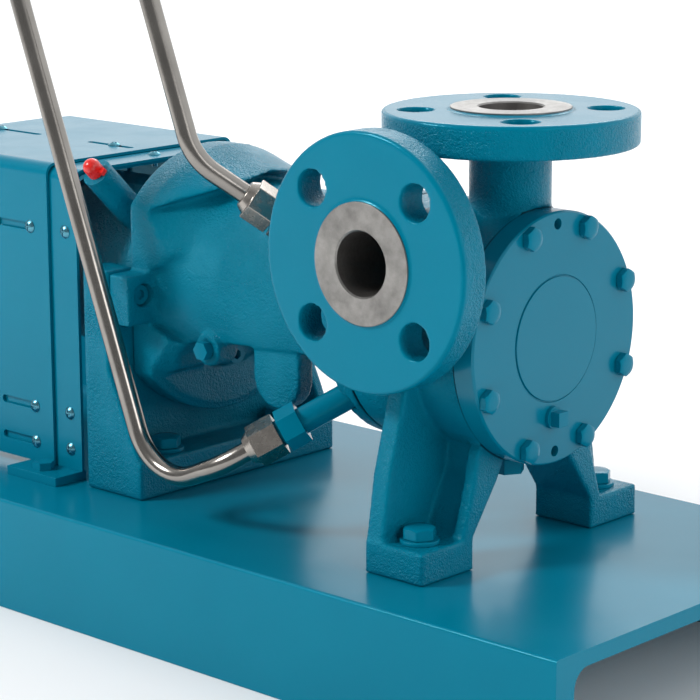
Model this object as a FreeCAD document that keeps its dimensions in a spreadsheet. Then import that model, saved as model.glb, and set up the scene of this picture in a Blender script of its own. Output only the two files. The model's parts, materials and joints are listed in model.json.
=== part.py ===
import FreeCAD, Part

import math
import os
import re

import Sketcher

from FreeCAD import Placement, Rotation, Vector

# Horizontal process pump with regenerative-turbine hydraulics, on a channel baseplate, less motor.
# Millimetres, +Z up. The origin is under the middle of the baseplate, +X runs along the shaft
# towards the pump's end cover, and the suction flange faces -Y.
#
# Most pieces are drawn in the pump frame: x = 0 on the end cover's outer face, z = 0 on top of
# the baseplate. Turned pieces are drawn in the shaft frame: the same, with z = 0 on the shaft.

doc = FreeCAD.newDocument("process_pump")
sheet = doc.addObject("Spreadsheet::Sheet", "sizes")

SIZES = {
    # Baseplate: a 12-inch rolled channel, web up.
    "base_length": 1000, "base_width": 300, "base_height": 75,
    "web_thick": 10, "leg_root": 17, "leg_toe": 13, "root_round": 12,
    # Where the pump stands on it.
    "cover_face": 378, "shaft_high": 135,
    # Motor pads for a 112 frame: shaft height 112, foot pattern 190 by 140.
    "motor_shaft_high": 112, "motor_foot_wide": 190, "motor_foot_long": 140,
    "motor_foot_front": 578, "pad_wide": 50, "pad_over": 20, "motor_screw_r": 5,
    # Class 300 flanges, nominal 1 1/2 inch.
    "flange_radius": 77.7, "flange_thick": 20.6, "flange_edge": 1.6,
    "raised_radius": 36.5, "raised_high": 1.6, "flange_circle": 114.3, "flange_hole_r": 11.1,
    "nozzle_bore_r": 19.6, "neck_radius": 25, "port_radius": 13,
    "suction_back": 57, "suction_up": 54, "suction_face": 110,
    "discharge_back": 37, "discharge_face": 135.4,
    # Pump casing and its feet.
    "casing_radius": 77, "casing_rear": 104.5, "casing_bore": 62, "bore_depth": 80,
    "seal_chamber": 27, "foot_front": 15.3, "foot_rear": 61, "foot_inner": 57,
    "foot_outer": 104.3, "foot_high": 20, "rib_thick": 14,
    # End cover.
    "cover_radius": 77.5, "cover_thick": 15, "spigot_radius": 61.7, "spigot_long": 5,
    "disc_radius": 38, "cover_circle": 139.7, "cover_count": 8, "jack_hole_r": 3.3,
    # Fasteners.
    "small_r": 4, "small_across": 13, "small_head": 5.3,
    "foot_bolt_r": 6, "foot_across": 18, "foot_head": 7.5, "washer_r": 12, "washer_thick": 2.5,
    # Impeller and its liner rings.
    "impeller_front": 41, "impeller_wide": 12, "impeller_radius": 52, "impeller_bore": 10,
    "hub_radius": 17, "hub_long": 20, "vane_count": 30, "vane_inner": 45.5, "vane_gap": 6,
    "vane_deep": 4, "channel_outer": 57.5, "channel_inner": 44.5, "channel_deep": 5,
    "liner_bore": 21, "liner_clear": 0.3,
    # Shaft.
    "shaft_radius": 14, "bearing_seat": 15, "shaft_shoulder": 18, "coupling_seat": 12,
    "shaft_front": 26, "shaft_end": 433, "thread_radius": 8,
    # Shaft sleeve and mechanical seal.
    "sleeve_front": 58.2, "sleeve_rear": 150, "sleeve_radius": 17,
    # Bearing bracket.
    "ring_rear": 118, "barrel_radius": 68, "barrel_bore": 60, "barrel_rear": 250,
    "disc_front": 281, "disc_rear": 300, "bracket_disc": 90, "taper_end": 86,
    "flat_half": 71, "ear_half": 90, "ear_low": 115, "ear_top": 148, "ear_rear": 300,
    "ear_hole": 76, "bracket_bore": 44.3,
    "hood_front": 205, "hood_edge": 182, "lobe_low": 79,
    "window_edge": 108, "window_rear": 279, "window_front": 122,
    "tongue_back": 176, "tongue_up": 93, "tongue_r": 20, "tongue_face": 62,
    # Bearings, 30 by 72 by 19, and their housing.
    "bearing_bore": 15, "bearing_outer": 36, "bearing_wide": 19, "ball_circle_r": 25.5,
    "ball_radius": 6.1, "ball_count": 8, "front_bearing": 290, "rear_bearing": 388,
    "housing_front": 262, "housing_flange": 65, "housing_radius": 60, "housing_rear": 394,
    "housing_spigot": 44, "oil_chamber": 50,
    # Filler on the bearing housing, on a slant up towards the suction side.
    "filler_back": 326, "filler_angle": 45, "filler_radius": 10.2, "filler_end": 106,
    "cap_radius": 5.8, "cap_high": 7,
    # Rear pedestal.
    "pedestal_rear": 324, "pedestal_face": 300, "pedestal_toe": 271, "pedestal_half": 92,
    "pedestal_foot": 25, "pedestal_top": 150, "pedestal_notch": 68, "gusset_thick": 9,
    # Coupling.
    "hub_outer": 32.5, "pump_hub_front": 405, "jaw_start": 432,
    "motor_hub_rear": 478, "motor_bore": 14, "spider_clear": 0.4, "jaw_inner": 19,
    # Sheet-metal guard.
    "sheet_thick": 2, "inner_half": 84, "inner_top": 211, "outer_half": 86.3, "outer_top": 213.3,
    "bend_radius": 8, "shell_low": 6, "end_front": 338, "end_rear": 425,
    "middle_front": 364, "middle_rear": 530, "motor_shell_front": 470, "motor_shell_rear": 548,
    "slot_r": 2.6, "slot_long": 32, "screw_r": 2.1, "screw_head_r": 4.4, "screw_head": 2.4,
    "frame_row": 349, "frame_row_top": 351, "front_row": 382, "front_row_top": 392,
    "rear_row": 511, "rear_row_top": 513,
    "guard_foot_back": 389, "guard_foot_half": 107, "guard_foot_hole": 96, "guard_bolt_back": 364,
    "guard_foot_thick": 6,
    # Seal tubes: half-inch stainless.
    "tube_radius": 6.35, "tube_wall": 1.2,
    # Spots that several pieces share.
    "shoulder_round": 2, "foot_bolt_back": 34, "foot_bolt_y": 85, "pedestal_bolt_back": 287,
    "pedestal_bolt_y": 54, "plug_across": -3, "plug_down": 48, "plug_radius": 5,
    "bracket_circle": 104, "ring_bore": 46, "gland_circle": 74, "gland_screw_r": 3, "gland_radius": 45,
    "gland_thick": 12, "housing_circle": 104, "key_wide": 6, "impeller_end": 34,
    "seal_face_front": 97, "seal_face": 103, "seal_collar_front": 81,
    "bracket_plug_back": 232, "bracket_plug_up": 104, "ear_hole_up": 134,
    "rear_cover_circle": 98, "slinger_front": 240, "jaw_long": 14, "spider_arm": 4.4, "jaw_half": 5,
    "nipple_r": 8.5, "nipple_across": 24, "nut_across": 24, "nut_long": 18,
}

for row, (alias, value) in enumerate(SIZES.items(), start=1):
    sheet.set(f"A{row}", alias)
    sheet.set(f"B{row}", str(value))
    sheet.setAlias(f"B{row}", alias)
doc.recompute()

nodes = []


def bound(text):
    """The same expression with every size's name looked up in the sheet."""
    return re.sub(r"\b([a-z]+_[a-z_]+)\b", r"sizes.\1", str(text))


def number(text):
    """What an expression of sizes comes to."""
    return float(sheet.evalExpression(bound(text)))


def bind(piece, **sizes):
    for name, text in sizes.items():
        piece.setExpression(name, bound(text))
    return piece


def put(piece, x=0, y=0, z=0, turn=None):
    """Place a piece, its place bound to the sheet."""
    if turn:
        piece.Placement = Placement(Vector(), turn)
    for axis, text in zip("xyz", (x, y, z)):
        piece.setExpression(f"Placement.Base.{axis}", bound(text))
    return piece


def keep(piece, node, frame="pump"):
    """Name a finished sub-part and stand it in its frame."""
    piece.Label = node
    height = {"pump": "base_height", "shaft": "base_height + shaft_high", "base": "0"}[frame]
    put(piece, "0" if frame == "base" else "cover_face", 0, height)
    nodes.append(piece)
    return piece


ALONG_X = Rotation(Vector(0, 1, 0), 90)
ALONG_Y = Rotation(Vector(1, 0, 0), -90)
TOWARDS_SUCTION = Rotation(Vector(1, 0, 0), 90)
DOWN = Rotation(Vector(1, 0, 0), 180)
BACK_X = Rotation(Vector(0, 1, 0), -90)


def cylinder(name, radius, length, x=0, y=0, z=0, turn=None):
    piece = bind(doc.addObject("Part::Cylinder", name), Radius=radius, Height=length)
    return put(piece, x, y, z, turn)


def box(name, low, high):
    """A box from its lowest to its highest corner."""
    spans = [f"({top}) - ({bottom})" for bottom, top in zip(low, high)]
    piece = bind(doc.addObject("Part::Box", name), Length=spans[0], Width=spans[1], Height=spans[2])
    return put(piece, *low)


def prism(name, across, height, x=0, y=0, z=0, turn=None):
    """A hexagonal bar of the given width across flats."""
    piece = doc.addObject("Part::Prism", name)
    piece.Polygon = 6
    bind(piece, Circumradius=f"({across}) / sqrt(3)", Height=height)
    return put(piece, x, y, z, turn)


def fuse(name, *pieces):
    joined = doc.addObject("Part::MultiFuse", name)
    joined.Shapes = list(pieces)
    joined.Refine = True
    return joined


def cut(name, base, *tools):
    result = doc.addObject("Part::Cut", name)
    result.Base = base
    result.Tool = tools[0] if len(tools) == 1 else fuse(f"{name}_tools", *tools)
    result.Refine = True
    return result


def group(name, pieces):
    together = doc.addObject("Part::Compound", name)
    together.Links = list(pieces)
    return together


def plane(body, role):
    return next(part for part in body.Origin.OriginFeatures if part.Role == role)


def sketch_on(body, name, role):
    sketch = body.newObject("Sketcher::SketchObject", name)
    sketch.AttachmentSupport = [(plane(body, role), "")]
    sketch.MapMode = "FlatFace"
    return sketch


def polygon(sketch, points):
    """A closed outline whose corners are held by distances bound to the sheet."""
    spots = [Vector(number(u), number(v), 0) for u, v in points]
    first = sketch.GeometryCount
    for start, end in zip(spots, spots[1:] + spots[:1]):
        sketch.addGeometry(Part.LineSegment(start, end), False)
    count = len(spots)
    for index in range(count):
        line, following = first + index, first + (index + 1) % count
        sketch.addConstraint(Sketcher.Constraint("Coincident", line, 2, following, 1))
    for index, ((u, v), spot) in enumerate(zip(points, spots)):
        for kind, text, value in (("DistanceX", u, spot.x), ("DistanceY", v, spot.y)):
            held = sketch.addConstraint(Sketcher.Constraint(kind, -1, 1, first + index, 1, value))
            sketch.setExpression(f"Constraints[{held}]", bound(text))


def circle(sketch, u, v, radius):
    """A circle whose centre and radius are bound to the sheet."""
    centre = Vector(number(u), number(v), 0)
    index = sketch.addGeometry(Part.Circle(centre, Vector(0, 0, 1), number(radius)), False)
    for kind, text, value in (("DistanceX", u, centre.x), ("DistanceY", v, centre.y)):
        held = sketch.addConstraint(Sketcher.Constraint(kind, -1, 1, index, 3, value))
        sketch.setExpression(f"Constraints[{held}]", bound(text))
    held = sketch.addConstraint(Sketcher.Constraint("Radius", index, number(radius)))
    sketch.setExpression(f"Constraints[{held}]", bound(radius))


def turned(name, points):
    """A body of revolution about the X axis, from (x, radius) corners."""
    body = doc.addObject("PartDesign::Body", name)
    sketch = sketch_on(body, f"{name}_profile", "XZ_Plane")
    polygon(sketch, points)
    revolution = body.newObject("PartDesign::Revolution", f"{name}_turned")
    revolution.Profile = sketch
    revolution.ReferenceAxis = (sketch, ["H_Axis"])
    revolution.Angle = 360
    body.Tip = revolution
    return body


def extruded(name, role, points, length, reversed_way=False, middle=False):
    """A body padded from a polygon on one of its own origin planes."""
    body = doc.addObject("PartDesign::Body", name)
    sketch = sketch_on(body, f"{name}_outline", role)
    polygon(sketch, points)
    pad = body.newObject("PartDesign::Pad", f"{name}_pad")
    pad.Profile = sketch
    pad.Midplane = middle
    pad.Reversed = reversed_way
    bind(pad, Length=length)
    body.Tip = pad
    return body


def pocket(body, name, holes, corners=(), offset="0", forward=False):
    """Cut round holes or a polygon through a body, backward along X unless told forward."""
    before = body.Tip
    sketch = sketch_on(body, f"{name}_spots", "YZ_Plane")
    sketch.setExpression("AttachmentOffset.Base.z", bound(offset))
    for u, v, radius in holes:
        circle(sketch, u, v, radius)
    if corners:
        polygon(sketch, corners)
    removed = body.newObject("PartDesign::Pocket", name)
    removed.Profile = sketch
    removed.Type = 1
    removed.Midplane = not corners
    removed.Reversed = forward
    body.Tip = removed
    doc.recompute()
    if not removed.Shape.Volume < before.Shape.Volume - 1e-3:
        raise RuntimeError(f"{name} removed nothing")
    return removed


def repeat_round(body, name, feature, count):
    """Repeat a feature about the body's X axis."""
    pattern = body.newObject("PartDesign::PolarPattern", name)
    pattern.Originals = [feature]
    pattern.Axis = (plane(body, "X_Axis"), [""])
    pattern.Angle = 360
    bind(pattern, Occurrences=count)
    body.Tip = pattern
    return pattern


def soften(body, name, radius, wanted):
    """Fillet the edges of the body's tip that the test picks."""
    doc.recompute()
    tip = body.Tip
    names = [f"Edge{i}" for i, edge in enumerate(tip.Shape.Edges, start=1) if wanted(edge)]
    fillet = body.newObject("PartDesign::Fillet", name)
    fillet.Base = (tip, names)
    bind(fillet, Radius=radius)
    body.Tip = fillet
    return fillet


def band(front, rear, inner, outer):
    """The corners of a plain ring, its stations counted back from the cover's face."""
    return [(f"-({front})", inner), (f"-({front})", outer),
            (f"-({rear})", outer), (f"-({rear})", inner)]


def ring(node, front, rear, inner, outer):
    """A plain turned ring as a sub-part of its own."""
    keep(turned(f"{node}_body", band(front, rear, inner, outer)), node, "shaft")


def on_circle(diameter, angle):
    """The y and z of a spot on a circle round the shaft, the angle from +Z."""
    return f"{diameter} / 2 * sin({angle})", f"{diameter} / 2 * cos({angle})"


def hex_bolt(name, across, head, shank, length, x, y, z, turn):
    """A hexagon bolt: its head stands on the spot, its shank runs the other way."""
    whole = fuse(name, prism(f"{name}_head", across, head),
                 cylinder(f"{name}_shank", shank, f"{length} + 1", z=f"-({length})"))
    return put(whole, x, y, z, turn)


def cap_screw(name, radius, head, shank, length, x, y, z, turn):
    """A socket-head cap screw with its hexagon socket."""
    whole = fuse(f"{name}_solid", cylinder(f"{name}_head", radius, head),
                 cylinder(f"{name}_shank", shank, f"{length} + 1", z=f"-({length})"))
    socket = prism(f"{name}_socket", f"{shank} * 1.5", head, z=f"{head} / 2")
    return put(cut(name, whole, socket), x, y, z, turn)


def pan_screw(name, x, y, z, turn):
    """A small sheet-metal screw with a domed head and a cross recess."""
    dome = doc.addObject("Part::Sphere", f"{name}_dome")
    bind(dome, Radius="screw_head_r * 1.3")
    put(dome, z="screw_head - screw_head_r * 1.3")
    blank = doc.addObject("Part::Common", f"{name}_head")
    blank.Base = cylinder(f"{name}_drum", "screw_head_r", "screw_head")
    blank.Tool = dome
    shank = cylinder(f"{name}_shank", "screw_r", 9, z=-8)
    slots = [box(f"{name}_cross_{i}", (f"-{a}", f"-{b}", "screw_head - 0.9"), (a, b, "screw_head + 1"))
             for i, (a, b) in enumerate((("2.4", "0.45"), ("0.45", "2.4")))]
    return put(cut(name, fuse(f"{name}_solid", blank, shank), *slots), x, y, z, turn)


def washer(name, radius, bore, thick, x, y, z):
    whole = cut(name, cylinder(f"{name}_disc", radius, thick),
                cylinder(f"{name}_bore", bore, f"{thick} + 2", z=-1))
    return put(whole, x, y, z)


# Heights of the guard's side screws, and the ways and routes of the two seal tubes.
SCREW_ROWS = ("20", "45", "169")
PORT_WAY = {"upper": (-0.58, -0.58, 0.575), "lower": (-0.618, -0.618, -0.484)}
PORT_TURN = {word: Rotation(Vector(0, 0, 1), Vector(*way)) for word, way in PORT_WAY.items()}
PORT_SEAT = {"upper": (-158, -50, 184.6), "lower": (-118, -55, 91)}
NIPPLE_LONG = {"upper": 25, "lower": 50}
HOOD_RISE = 12
TUBE_REACH = {"upper": 86.2, "lower": 92.2}
TUBE_CORNERS = {
    "upper": [(-261, -100, 372)],
    "lower": [(-237, -112, 20), (-378, -112, 385)],
}
TUBE_BENDS = {"upper": [40], "lower": [38, 38]}


def along(start, way, distance):
    return tuple(a + b * distance for a, b in zip(start, way))


def channel_base():
    leg_inside, toe_inside = "base_width / 2 - leg_root", "base_width / 2 - leg_toe"
    under = "base_height - web_thick"
    body = extruded("base_body", "YZ_Plane", [
        ("base_width / 2", "0"), ("base_width / 2", "base_height"),
        ("-base_width / 2", "base_height"), ("-base_width / 2", "0"), (f"-({toe_inside})", "0"),
        (f"-({leg_inside})", under), (leg_inside, under), (toe_inside, "0")],
        "base_length", middle=True)
    level = number(under)

    def at_root(edge):
        return abs(edge.CenterOfMass.z - level) < 0.1 and edge.Length > 900

    def at_shoulder(edge):
        return abs(edge.CenterOfMass.z - number("base_height")) < 0.1 and edge.Length > 900

    soften(body, "base_roots", "root_round", at_root)
    soften(body, "base_shoulders", "shoulder_round", at_shoulder)
    holes = []
    for side in (-1, 1):
        spots = (("foot_bolt_back", "foot_bolt_y", "foot_bolt_r + 0.6"),
                 ("pedestal_bolt_back", "pedestal_bolt_y", "foot_bolt_r + 0.6"),
                 ("364", "96", "small_r"))
        for back, across, radius in spots:
            holes.append(cylinder(f"base_hole_{len(holes)}", radius, 40, f"cover_face - {back}",
                                  f"{side} * {across}", "base_height - 30"))
    keep(cut("base_drilled", body, *holes), "base_channel", "base")


def motor_pads():
    pads = []
    for side, word in ((-1, "near"), (1, "far")):
        middle = f"{side} * motor_foot_wide / 2"
        low = ("-(motor_foot_front + motor_foot_long + pad_over)", f"{middle} - pad_wide / 2", "0")
        high = ("-(motor_foot_front - pad_over)", f"{middle} + pad_wide / 2",
                "shaft_high - motor_shaft_high")
        bar = box(f"{word}_pad_bar", low, high)
        taps = [cylinder(f"{word}_pad_tap_{end}", "motor_screw_r", "shaft_high",
                         f"-(motor_foot_front + {end} * motor_foot_long)", middle, -1)
                for end in (0, 1)]
        pads.append(cut(f"{word}_pad", bar, *taps))
    keep(group("motor_pad_pair", pads), "motor_pads")


def end_cover():
    """The bolted end cover, with its bolt holes, two jacking holes and a drain hole."""
    groove = "cover_thick + 0.9"
    groove_end = "cover_thick + 4.1"
    back = "-(cover_thick + spigot_long)"
    body = turned("end_cover_body", [
        (back, "0"), ("0.6", "0"), ("0.6", "disc_radius"), ("-0.8", "disc_radius"),
        ("-0.8", "disc_radius + 0.9"), ("0", "disc_radius + 0.9"), ("0", "cover_radius - 1.2"),
        ("-1.2", "cover_radius"), ("-cover_thick", "cover_radius"),
        ("-cover_thick", "spigot_radius"), (f"-({groove})", "spigot_radius"),
        (f"-({groove})", "spigot_radius - 3.2"), (f"-({groove_end})", "spigot_radius - 3.2"),
        (f"-({groove_end})", "spigot_radius"), (back, "spigot_radius"),
    ])
    y, z = on_circle("cover_circle", 22.5)
    hole = pocket(body, "cover_bolt_hole", [(y, z, "small_r + 0.4")])
    repeat_round(body, "cover_bolt_holes", hole, "cover_count")
    pocket(body, "cover_small_holes", [("0", "cover_circle / 2", "jack_hole_r"),
                                       ("0", "-cover_circle / 2", "jack_hole_r"),
                                       ("plug_across", "-plug_down", "plug_radius + 0.1")])
    keep(body, "end_cover", "shaft")


def cover_ring():
    ring = doc.addObject("Part::Torus", "cover_ring_torus")
    bind(ring, Radius1="spigot_radius - 1.6", Radius2="1.45")
    put(ring, "-(cover_thick + 2.5)", turn=ALONG_X)
    keep(group("cover_ring", [ring]), "cover_o_ring", "shaft")


def cover_bolts():
    bolts = []
    for index in range(int(number("cover_count"))):
        y, z = on_circle("cover_circle", 22.5 + index * 45)
        bolts.append(hex_bolt(f"cover_bolt_{index}", "small_across", "small_head", "small_r",
                              "cover_thick + 16", 0, y, z, ALONG_X))
    keep(group("cover_bolt_set", bolts), "cover_bolts", "shaft")


def cover_plug():
    """A square-headed pipe plug in the cover."""
    head = box("plug_square", ("2", "-4.5", "-4.5"), ("9", "4.5", "4.5"))
    collar = cylinder("plug_collar", "plug_radius + 2", 2.5, turn=ALONG_X)
    shank = cylinder("plug_shank", "plug_radius", "cover_thick + 1", "-cover_thick", turn=ALONG_X)
    whole = put(fuse("cover_plug_whole", head, collar, shank), 0, "plug_across", "-plug_down")
    keep(group("cover_plug_set", [whole]), "cover_plug", "shaft")


def nozzle(name, turn, x, z, face, inside):
    """One flanged nozzle, drawn along +Z from the casing and then turned."""
    flange = cylinder(f"{name}_flange", "flange_radius", "flange_thick", z=f"{face} - flange_thick")
    rounded = doc.addObject("Part::Fillet", f"{name}_rim")
    rounded.Base = flange
    doc.recompute()
    radius = number("flange_edge")
    rounded.Edges = [(i, radius, radius) for i, edge in enumerate(flange.Shape.Edges, start=1)
                     if isinstance(edge.Curve, Part.Circle)]
    raised = cylinder(f"{name}_raised", "raised_radius", "raised_high + 1", z=f"{face} - 1")
    neck = cylinder(f"{name}_neck", "neck_radius", f"{face} - 2 - ({inside})", z=inside)
    hub = doc.addObject("Part::Cone", f"{name}_hub")
    bind(hub, Radius1="neck_radius", Radius2="neck_radius + 4", Height="8")
    put(hub, z=f"{face} - flange_thick - 8")
    return put(fuse(f"{name}_nozzle", rounded, raised, neck, hub), x, 0, z, turn)


def nozzle_holes(name, turn, x, z, face, bore_end):
    """The bore, the narrower port below it and the four bolt holes of one nozzle."""
    tools = [cylinder(f"{name}_bore", "nozzle_bore_r", f"{face} + 5 - {bore_end}", z=bore_end),
             cylinder(f"{name}_port", "port_radius", f"{bore_end} - 25", z="30")]
    for index in range(4):
        angle = 45 + 90 * index
        tools.append(cylinder(f"{name}_hole_{index}", "flange_hole_r", "flange_thick + 10",
                              f"flange_circle / 2 * cos({angle})",
                              f"flange_circle / 2 * sin({angle})", f"{face} - flange_thick - 5"))
    return put(fuse(f"{name}_holes", *tools), x, 0, z, turn)


def leg(name, side):
    """One casing foot: a pad, two ribs and the web behind the pocket, open outward."""
    def slab(part, points, rear, front):
        outline = [(f"{side} * ({y})", z) for y, z in points]
        return put(extruded(f"{name}_{part}", "YZ_Plane", outline, f"{rear} - ({front})"),
                   f"-{rear}")

    inside = [("20", "80"), ("35", "51"), ("foot_inner", "foot_high")]
    pad = slab("pad", [("foot_inner", "0"), ("foot_outer", "0"), ("foot_outer", "foot_high"),
                       ("foot_inner", "foot_high")], "foot_rear", "foot_front")
    rear_rib = slab("rear_rib", [("foot_inner", "0"), ("foot_outer", "0"),
                                 ("foot_outer - 1", "foot_high"), ("97", "60"), ("83", "110"),
                                 ("66", "150"), ("30", "150")] + inside,
                    "foot_rear", "foot_rear - rib_thick")
    front_rib = slab("front_rib", [("foot_inner", "0"), ("68", "0"), ("67", "foot_high"),
                                   ("57", "53"), ("54", "72"), ("40", "90")] + inside,
                     "(foot_front + 9)", "foot_front")
    web = slab("web", [("foot_inner", "0"), ("67", "0"), ("65", "foot_high"), ("47", "56"),
                       ("44", "78")] + inside, "foot_rear", "foot_front")
    return [pad, rear_rib, front_rib, web]


def taps(name, circle_text, start, count, radius, depth, face):
    """Tapped holes round the shaft, drilled towards +X from the given face."""
    holes = []
    for index in range(count):
        y, z = on_circle(circle_text, start + index * 360 / count)
        holes.append(cylinder(f"{name}_{index}", radius, depth, face, y, f"shaft_high + {z}", ALONG_X))
    return holes


def pump_casing():
    drum = cylinder("casing_drum", "casing_radius", "casing_rear - cover_thick",
                    "-casing_rear", 0, "shaft_high", ALONG_X)
    suction_z, low_boss = "shaft_high + suction_up", "shaft_high - casing_radius - 3"
    solid = fuse(
        "casing_solid", drum,
        nozzle("suction", TOWARDS_SUCTION, "-suction_back", suction_z, "suction_face", "20"),
        nozzle("discharge", None, "-discharge_back", "shaft_high", "discharge_face", "62.5"),
        cylinder("drain_boss", 13, 14, "-discharge_back", 0, low_boss),
        *leg("near_leg", -1), *leg("far_leg", 1))
    suction_end, discharge_end = "suction_face + raised_high", "discharge_face + raised_high"
    tools = [
        cylinder("casing_hollow", "casing_bore", "bore_depth", "-bore_depth", 0, "shaft_high", ALONG_X),
        cylinder("seal_hollow", "seal_chamber", 40, "-(casing_rear + 1)", 0, "shaft_high", ALONG_X),
        nozzle_holes("suction", TOWARDS_SUCTION, "-suction_back", suction_z, suction_end, "52"),
        nozzle_holes("discharge", None, "-discharge_back", "shaft_high", discharge_end, "66"),
        cylinder("cover_seat", "cover_radius + 1", 20, "-cover_thick", 0, "shaft_high", ALONG_X),
        cylinder("drain_bore", 6, 40, "-discharge_back", 0, "shaft_high - casing_radius - 5"),
        *taps("cover_tap", "cover_circle", 22.5, 8, "small_r", 20, "-(cover_thick + 18)"),
        *taps("bracket_tap", "bracket_circle", 0, 4, "small_r", 13, "-(casing_rear + 1)"),
        *taps("gland_tap", "gland_circle", 0, 4, "gland_screw_r", 12, "-(casing_rear + 1)"),
    ]
    for side, word in ((-1, "near"), (1, "far")):
        tools.append(cylinder(f"{word}_foot_hole", "foot_bolt_r + 0.6", "foot_high + 4",
                              "-foot_bolt_back", f"{side} * foot_bolt_y", -2))
    keep(cut("pump_casing_cut", solid, *tools), "pump_casing")


def drain_plug():
    under = "shaft_high - casing_radius - 3"
    head = prism("drain_head", 19, 9, "-discharge_back", 0, f"{under} - 9")
    shank = cylinder("drain_shank", 6, 14, "-discharge_back", 0, f"{under} - 1")
    keep(fuse("drain_plug_whole", head, shank), "casing_drain_plug")


def liner(node, sign, depth, port):
    """A channel ring: sign is +1 for the ring in front of the impeller, -1 for the one behind."""
    def at(offset):
        return f"-(impeller_front + impeller_wide / 2) + {sign} * ({offset})"

    wall, floor = "impeller_wide / 2 + liner_clear", "impeller_wide / 2 + channel_deep"
    body = turned(f"{node}_body", [
        (at(depth), "liner_bore"), (at(depth), "spigot_radius"), (at("0.1"), "spigot_radius"),
        (at("0.1"), "channel_outer"), (at(floor), "channel_outer"), (at(floor), "channel_inner"),
        (at(wall), "channel_inner"), (at(wall), "liner_bore")])
    keep(cut(f"{node}_drilled", body, port), node, "shaft")


def liners():
    outlet = cylinder("front_liner_port", 4, 42, "-discharge_back", 0, "40")
    liner("front_liner", 1, "impeller_front + impeller_wide / 2 - cover_thick - spigot_long"
          " - liner_clear", outlet)
    inlet = cylinder("rear_liner_port", 4, 62, "-suction_back", 0, "suction_up - 3",
                     TOWARDS_SUCTION)
    liner("rear_liner", -1, "bore_depth - liner_clear - impeller_front - impeller_wide / 2", inlet)


def impeller():
    """A disc with pockets milled round both sides of its rim, keyed to the shaft."""
    middle = "impeller_front + impeller_wide / 2"
    front, rear = "-impeller_front", "-(impeller_front + impeller_wide)"
    hub, back = f"-({middle} - hub_long / 2)", f"-({middle} + hub_long / 2)"
    body = turned("impeller_body", [
        (hub, "impeller_bore"), (hub, "hub_radius"), (front, "hub_radius"),
        (front, "impeller_radius"), (rear, "impeller_radius"), (rear, "hub_radius"),
        (back, "hub_radius"), (back, "impeller_bore")])
    gap = [("-vane_gap / 2", "vane_inner"), ("vane_gap / 2", "vane_inner"),
           ("vane_gap / 2", "impeller_radius + 2"), ("-vane_gap / 2", "impeller_radius + 2")]
    for side, plane_x, forward in (("front", f"{front} - vane_deep", True),
                                   ("rear", f"{rear} + vane_deep", False)):
        first = pocket(body, f"vane_gap_{side}", [], gap, plane_x, forward)
        repeat_round(body, f"vane_gaps_{side}", first, "vane_count")
    way = box("impeller_keyway", ("-80", "-key_wide / 2", "0"),
              ("0", "key_wide / 2", "impeller_bore + 2.8"))
    keep(cut("impeller_keyed", body, way), "impeller", "shaft")


def shaft():
    """The pump shaft, stepped down from its bearings to the impeller and to the coupling."""
    steps = [
        ("shaft_front", "thread_radius"), ("impeller_end", "impeller_bore"),
        ("sleeve_front", "shaft_radius"), ("front_bearing - bearing_wide", "bearing_seat"),
        ("front_bearing", "shaft_shoulder"), ("rear_bearing - bearing_wide", "bearing_seat"),
        ("rear_bearing + 8", "shaft_radius"), ("pump_hub_front - 1", "coupling_seat"),
    ]
    corners = [("-shaft_front", "0")]
    for (start, radius), following in zip(steps, steps[1:] + [("shaft_end", None)]):
        corners += [(f"-({start})", radius), (f"-({following[0]})", radius)]
    corners.append(("-shaft_end", "0"))
    body = turned("shaft_body", corners)
    ways = [box("shaft_keyway_front", ("-(impeller_end + 18)", "-key_wide / 2", "impeller_bore - 3.5"),
                ("-(impeller_end + 1)", "key_wide / 2", "impeller_bore + 3")),
            box("shaft_keyway_rear", ("-(shaft_end - 2)", "-key_wide / 2", "coupling_seat - 3.5"),
                ("-(shaft_end - 24)", "key_wide / 2", "coupling_seat + 3"))]
    keep(cut("shaft_keyed", body, *ways), "pump_shaft", "shaft")
    keys = [box("front_key", ("-(impeller_end + 18)", "-key_wide / 2", "impeller_bore - 3.5"),
                ("-(impeller_end + 1)", "key_wide / 2", "impeller_bore + 2.5")),
            box("rear_key", ("-(shaft_end - 2)", "-key_wide / 2", "coupling_seat - 3.5"),
                ("-(shaft_end - 24)", "key_wide / 2", "coupling_seat + 2.5"))]
    keep(group("key_pair", keys), "shaft_keys", "shaft")


def impeller_nut():
    nut = prism("nut_hex", 24, 7, "-(impeller_end)", turn=ALONG_X)
    bore = cylinder("nut_bore", "thread_radius", 12, "-(impeller_end + 1)", turn=ALONG_X)
    keep(cut("nut_drilled", nut, bore), "impeller_nut", "shaft")


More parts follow.
